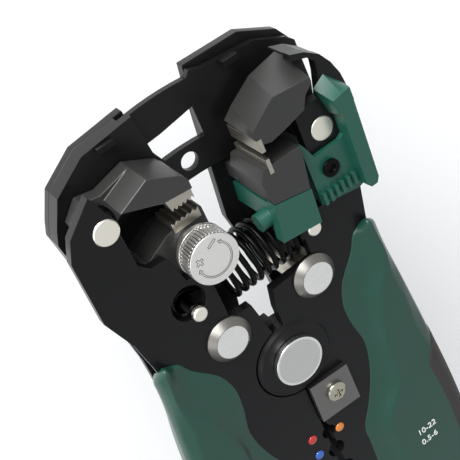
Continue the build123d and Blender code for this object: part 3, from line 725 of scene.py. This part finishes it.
class STRIPPER_OT_fasteners(bpy.types.Operator):
    """Rivets, pins, posts and screws as turned shapes"""

    bl_idname = "stripper.fasteners"
    bl_label = "Fasteners"

    def execute(self, context):
        self.main_rivet()
        for side, name in ((-1, "left"), (1, "right")):
            self.side_rivet(name, (side * RIVET_AT[0], RIVET_AT[1]))
        for node, at in (("left_spring_post", LEFT_POST), ("right_spring_post", RIGHT_POST)):
            self.post(node, at)
        for node, at, top in (("gripping_jaw_pin", GRIPPING_PIN, 19.3),
                              ("cutting_jaw_pin", CUTTING_PIN, 19.0)):
            profile = rounded_profile([(0, 2.5), (2.9, 2.5), (2.9, top - 0.25), (2.65, top), (0, top)], 0.08)
            stand_for(lathe(node + "_turned", at, profile, 80), node, material_of("cream_pin"))
        for node, finish in (("cutter_screw", "zinc_screw"), ("stop_screw", "black_spring"),
                             ("knob_screw", "nickel_knob")):
            eased_copy(node, sizes().small_edge, material_of(finish), 2)
        return {"FINISHED"}

    def main_rivet(self):
        """Stem, rear head, shank and a front head with a thin raised rim round a turned face."""
        stem = [(0, 0), (2.4, 0), (2.4, 11.4), (6, 11.4), (6, 12.9), (4.5, 12.9), (4.5, 19.7)]
        head = [(6.2, 19.7), (6.2, 21.1), (5.85, 21.28), (5.6, 21.12), (0, 21.12)]
        rivet = lathe("main_rivet_turned", (0, 0), rounded_profile(stem + head, 0.12), 128)
        stand_for(rivet, "main_pivot_rivet")
        # The turned face gets a paler copy of the rivet steel: painted highlight on the face.
        second_finish(rivet, material_of("pale_face"),
                      lambda c: (c[:, 2] > 21.0) & (np.hypot(c[:, 0], c[:, 1]) < 5.6))

    def side_rivet(self, name, at):
        """Tail, shank and a cone-sided head with a polished flat face."""
        profile = rounded_profile([(0, 1.3), (3.8, 1.3), (4.3, 2.5), (3.0, 2.5), (3.0, 19.0), (5.5, 19.0),
                                   (5.5, 19.45), (3.95, 20.9), (0, 20.98)], 0.12)
        rivet = lathe(name + "_rivet_turned", at, profile, 96)
        stand_for(rivet, name + "_side_rivet")
        # The head's rim and cone get the darker grey steel: painted shade on the cone.
        second_finish(rivet, material_of("grey_edge"),
                      lambda c: (c[:, 2] > 18.9) & (np.hypot(c[:, 0] - at[0], c[:, 1] - at[1]) > 3.9))

    def post(self, node, at):
        """Post with a collar and a groove for the spring's hook; only its end is bright."""
        lower = [(0, 2.5), (1.75, 2.5), (1.75, 5.0), (2.6, 5.0), (2.6, 8.0), (1.75, 8.0), (1.75, 17.6)]
        upper = [(1.45, 17.8), (1.45, 18.3), (1.75, 18.5), (1.75, 19.5), (1.4, 19.8), (0, 19.8)]
        post = lathe(node + "_turned", at, rounded_profile(lower + upper, 0.12), 64)
        stand_for(post, node, material_of("cream_pin"))
        second_finish(post, material_of("black_spring"), lambda c: c[:, 2] < 18.45)


class STRIPPER_OT_knob(bpy.types.Operator):
    """Pressure knob: notched flange, fine ribs, plain rim and engraved face"""

    bl_idname = "stripper.knob"
    bl_label = "Adjusting knob"

    def execute(self, context):
        at = KNOB_AT
        ribs = sizes().knurl_ribs
        flange = [(0, 16.5), (4.2, 16.5), (4.2, 19.3), (5.8, 19.3), (5.8, 20.4), (5.1, 20.45), (5.1, 20.7)]
        drum = [(5.78, 20.75), (5.78, 24.3), (5.2, 24.35), (5.2, 24.5)]
        rim = [(5.72, 24.55), (5.72, 24.9), (5.6, 25.0), (0, 25.0)]
        profile = rounded_profile(flange + drum + rim, 0.06, 4)
        steps = ribs * 8
        a = np.linspace(0, 2 * np.pi, steps, endpoint=False)
        ribbed = (profile[:, 1] > 20.72) & (profile[:, 1] < 24.33) & (profile[:, 0] > 5.3)
        wave = -0.42 * np.clip(1.6 * np.sin(ribs * a / 2) ** 2 - 0.6, 0.0, 1.0)
        r = profile[:, :1] + ribbed[:, None] * wave[None, :]
        grid = np.stack([at[0] + r * np.cos(a), at[1] + r * np.sin(a),
                         np.repeat(profile[:, 1:], steps, 1)], -1)
        knob = recalculated(new_mesh("knob_ribbed", grid.reshape(-1, 3) * MM,
                                     grid_faces(len(profile), steps, wrap_cols=True)))
        stand_for(knob, "adjusting_knob")
        # The rib valleys and the grooves beside the drum get the dark mark material: painted shade in the
        # grooves.
        second_finish(knob, material_of("mark"), lambda c: (c[:, 2] > 20.72) & (c[:, 2] < 24.5) & (
            np.hypot(c[:, 0] - at[0], c[:, 1] - at[1]) < 5.52))
        self.marks(at)
        return {"FINISHED"}

    def marks(self, at):
        """Plus, minus and a double-ended turning arrow, raised a hair on the face."""
        material = material_of("mark")
        a = np.radians(np.linspace(50, -172, 70))
        arc = np.column_stack([np.cos(a), np.sin(a)])
        strips = [(at + r * arc, ENGRAVED_WIDTH) for r in (3.72, 4.05)]
        for angle, turn in ((a[0], 1), (a[-1], -1)):
            out = np.array([math.cos(angle), math.sin(angle)])
            ahead = np.array([-out[1], out[0]]) * turn
            tip = at + 3.88 * out + 0.55 * ahead
            for lean in (0.5, -0.5):
                strips.append((np.array([tip, tip - 0.75 * ahead + lean * out]), 0.13))
        u = np.array([2.17, 1.15]) / math.hypot(2.17, 1.15)
        v = np.array([-u[1], u[0]])
        bar = [(-1.1, -0.25), (1.1, -0.25), (1.1, 0.25), (-1.1, 0.25)]
        cross = [(-0.9, -0.25), (-0.25, -0.25), (-0.25, -0.9), (0.25, -0.9), (0.25, -0.25), (0.9, -0.25),
                 (0.9, 0.25), (0.25, 0.25), (0.25, 0.9), (-0.25, 0.9), (-0.25, 0.25), (-0.9, 0.25)]
        for shape, centre in ((bar, at + (0.7, 3.7)), (cross, at + (-3.2, 1.5))):
            corners = [centre + p * u + q * v for p, q in shape]
            for start, end in zip(corners, corners[1:] + corners[:1]):
                strips.append((np.array([start, end]), ENGRAVED_WIDTH))
        for i, (line, width) in enumerate(strips):
            piece = ribbon(f"knob_mark_{i}", line, width, 24.95, 25.03)
            finish_piece(piece, BODY_OF["adjusting_knob"], material)


class STRIPPER_OT_springs(bpy.types.Operator):
    """Main extension spring with hooked ends, and the two small jaw springs"""

    bl_idname = "stripper.springs"
    bl_label = "Springs"

    def execute(self, context):
        y0, z0, mean, wire, turns, pitch, x0 = 27.4, 12.4, 6.1, 0.65, 9, 2.05, -6.0
        t = np.linspace(0, 1, turns * 40)
        a = 2 * np.pi * turns * t
        helix = np.column_stack([x0 + pitch * turns * t, y0 + mean * np.sin(a), z0 - mean * np.cos(a)])
        left = self.hook(LEFT_POST, 0, helix[0], z0)
        right = self.hook(RIGHT_POST, 180, helix[-1], z0)
        path = resample(np.concatenate([left, helix, right[::-1]]), 900)
        spring = tube("main_spring_wire", path, wire, 14)
        spring.data.materials.append(material_of("black_spring"))
        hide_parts("main_tension_spring")
        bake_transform(spring)
        for node, at in (("gripping_jaw_spring", GRIPPING_PIN), ("cutting_jaw_spring", CUTTING_PIN)):
            a = np.linspace(0, 2.5 * 2 * np.pi, 160)
            coil = np.column_stack([at[0] + 3.6 * np.cos(a), at[1] + 3.6 * np.sin(a),
                                    14.1 + 0.75 * a / (2 * np.pi)])
            stand_for(tube(node + "_wire", coil, 0.3, 10), node)
        return {"FINISHED"}

    def hook(self, post, facing, coil_end, z):
        """Eye round a post, then a straight run and a quarter turn down into the coil's end."""
        a = np.radians(facing + np.linspace(330, 30, 40))
        eye = np.column_stack([post[0] + 2.45 * np.cos(a), post[1] + 2.45 * np.sin(a), np.full(40, z)])
        toward = 1 if facing == 0 else -1
        start = eye[-1]
        knee = np.array([coil_end[0] - toward * 1.6, coil_end[1], z])
        t = np.linspace(0, 1, 30)[:, None]
        bend = (1 - t) ** 2 * knee + 2 * t * (1 - t) * (knee + (toward * 1.6, 0, 0)) + t ** 2 * coil_end
        run = start + (knee - start) * np.linspace(0, 1, 12)[:, None]
        return np.concatenate([eye, run[1:-1], bend])


class STRIPPER_OT_trim(bpy.types.Operator):
    """Green stop and carrier, enamel dots, size numerals"""

    bl_idname = "stripper.trim"
    bl_label = "Stop, dots and numerals"

    def execute(self, context):
        for node in ("wire_stop", "stop_housing"):
            eased_copy(node, sizes().moulded_edge, material_of("green_plastic"), 3)
        for name, at, body in (("red", (-4.7, -25.7), "left_frame"), ("blue", (-4.7, -31.5), "left_frame"),
                               ("orange", (3.0, -28.1), "right_frame")):
            rows = np.linspace(0, np.pi / 2, 12)
            dome = np.column_stack([1.25 * np.sin(rows[::-1]), 19.0 + 0.5 * np.cos(rows[::-1])])
            profile = np.concatenate([[(0, 18.9), (1.25, 18.9)], dome])
            profile[-1] = (0, 19.5)
            finish_piece(lathe(name + "_dot", at, profile, 48), body, material_of(name + "_enamel"))
        for name, text, at in (("gauge_numerals", "10-22", (20.6, -46.6)),
                               ("metric_numerals", "0.5-6", (20.8, -50.4))):
            self.numerals(name, text, at)
        return {"FINISHED"}

    def numerals(self, name, text, at):
        curve = bpy.data.curves.new(name, "FONT")
        curve.body = text
        curve.size = 2.6
        curve.extrude = 0.05
        maker = bpy.data.objects.new(name + "_text", curve)
        bpy.context.scene.collection.objects.link(maker)
        bpy.context.view_layer.update()
        mesh = bpy.data.meshes.new_from_object(maker.evaluated_get(bpy.context.evaluated_depsgraph_get()))
        bpy.data.objects.remove(maker)
        count = len(mesh.vertices)
        flat = np.empty(count * 3)
        mesh.vertices.foreach_get("co", flat)
        co = flat.reshape(-1, 3)
        placed = np.column_stack([at[0] + co[:, 0], at[1] + co[:, 1], 21.98 + co[:, 2]]) * MM
        mesh.vertices.foreach_set("co", placed.ravel())
        mesh.update()
        obj = bpy.data.objects.new(name, mesh)
        bpy.context.scene.collection.objects.link(obj)
        finish_piece(obj, "right_frame", material_of("white_print"))


class STRIPPER_PT_panel(bpy.types.Panel):
    """Lists the building steps"""

    bl_idname = "STRIPPER_PT_panel"
    bl_label = "Wire Stripper"
    bl_space_type = "VIEW_3D"
    bl_region_type = "UI"
    bl_category = "Wire Stripper"

    def draw(self, context):
        for step in STEPS:
            self.layout.operator(step.bl_idname)
        for group in (context.scene.stripper_sizes, context.scene.stripper_colours):
            for key in group.__annotations__:
                self.layout.prop(group, key)


STEPS = (STRIPPER_OT_stage, STRIPPER_OT_plain, STRIPPER_OT_plates, STRIPPER_OT_jaws, STRIPPER_OT_grips,
         STRIPPER_OT_fasteners, STRIPPER_OT_knob, STRIPPER_OT_springs, STRIPPER_OT_trim)
CLASSES = (StripperSizes, StripperColours) + STEPS + (STRIPPER_PT_panel,)


def register():
    for cls in CLASSES:
        bpy.utils.register_class(cls)
    bpy.types.Scene.stripper_sizes = bpy.props.PointerProperty(type=StripperSizes)
    bpy.types.Scene.stripper_colours = bpy.props.PointerProperty(type=StripperColours)


def unregister():
    del bpy.types.Scene.stripper_colours
    del bpy.types.Scene.stripper_sizes
    for cls in reversed(CLASSES):
        bpy.utils.unregister_class(cls)


def main():
    register()
    for step in STEPS:
        group, name = step.bl_idname.split(".")
        getattr(getattr(bpy.ops, group), name)()


if __name__ == "__main__":
    main()
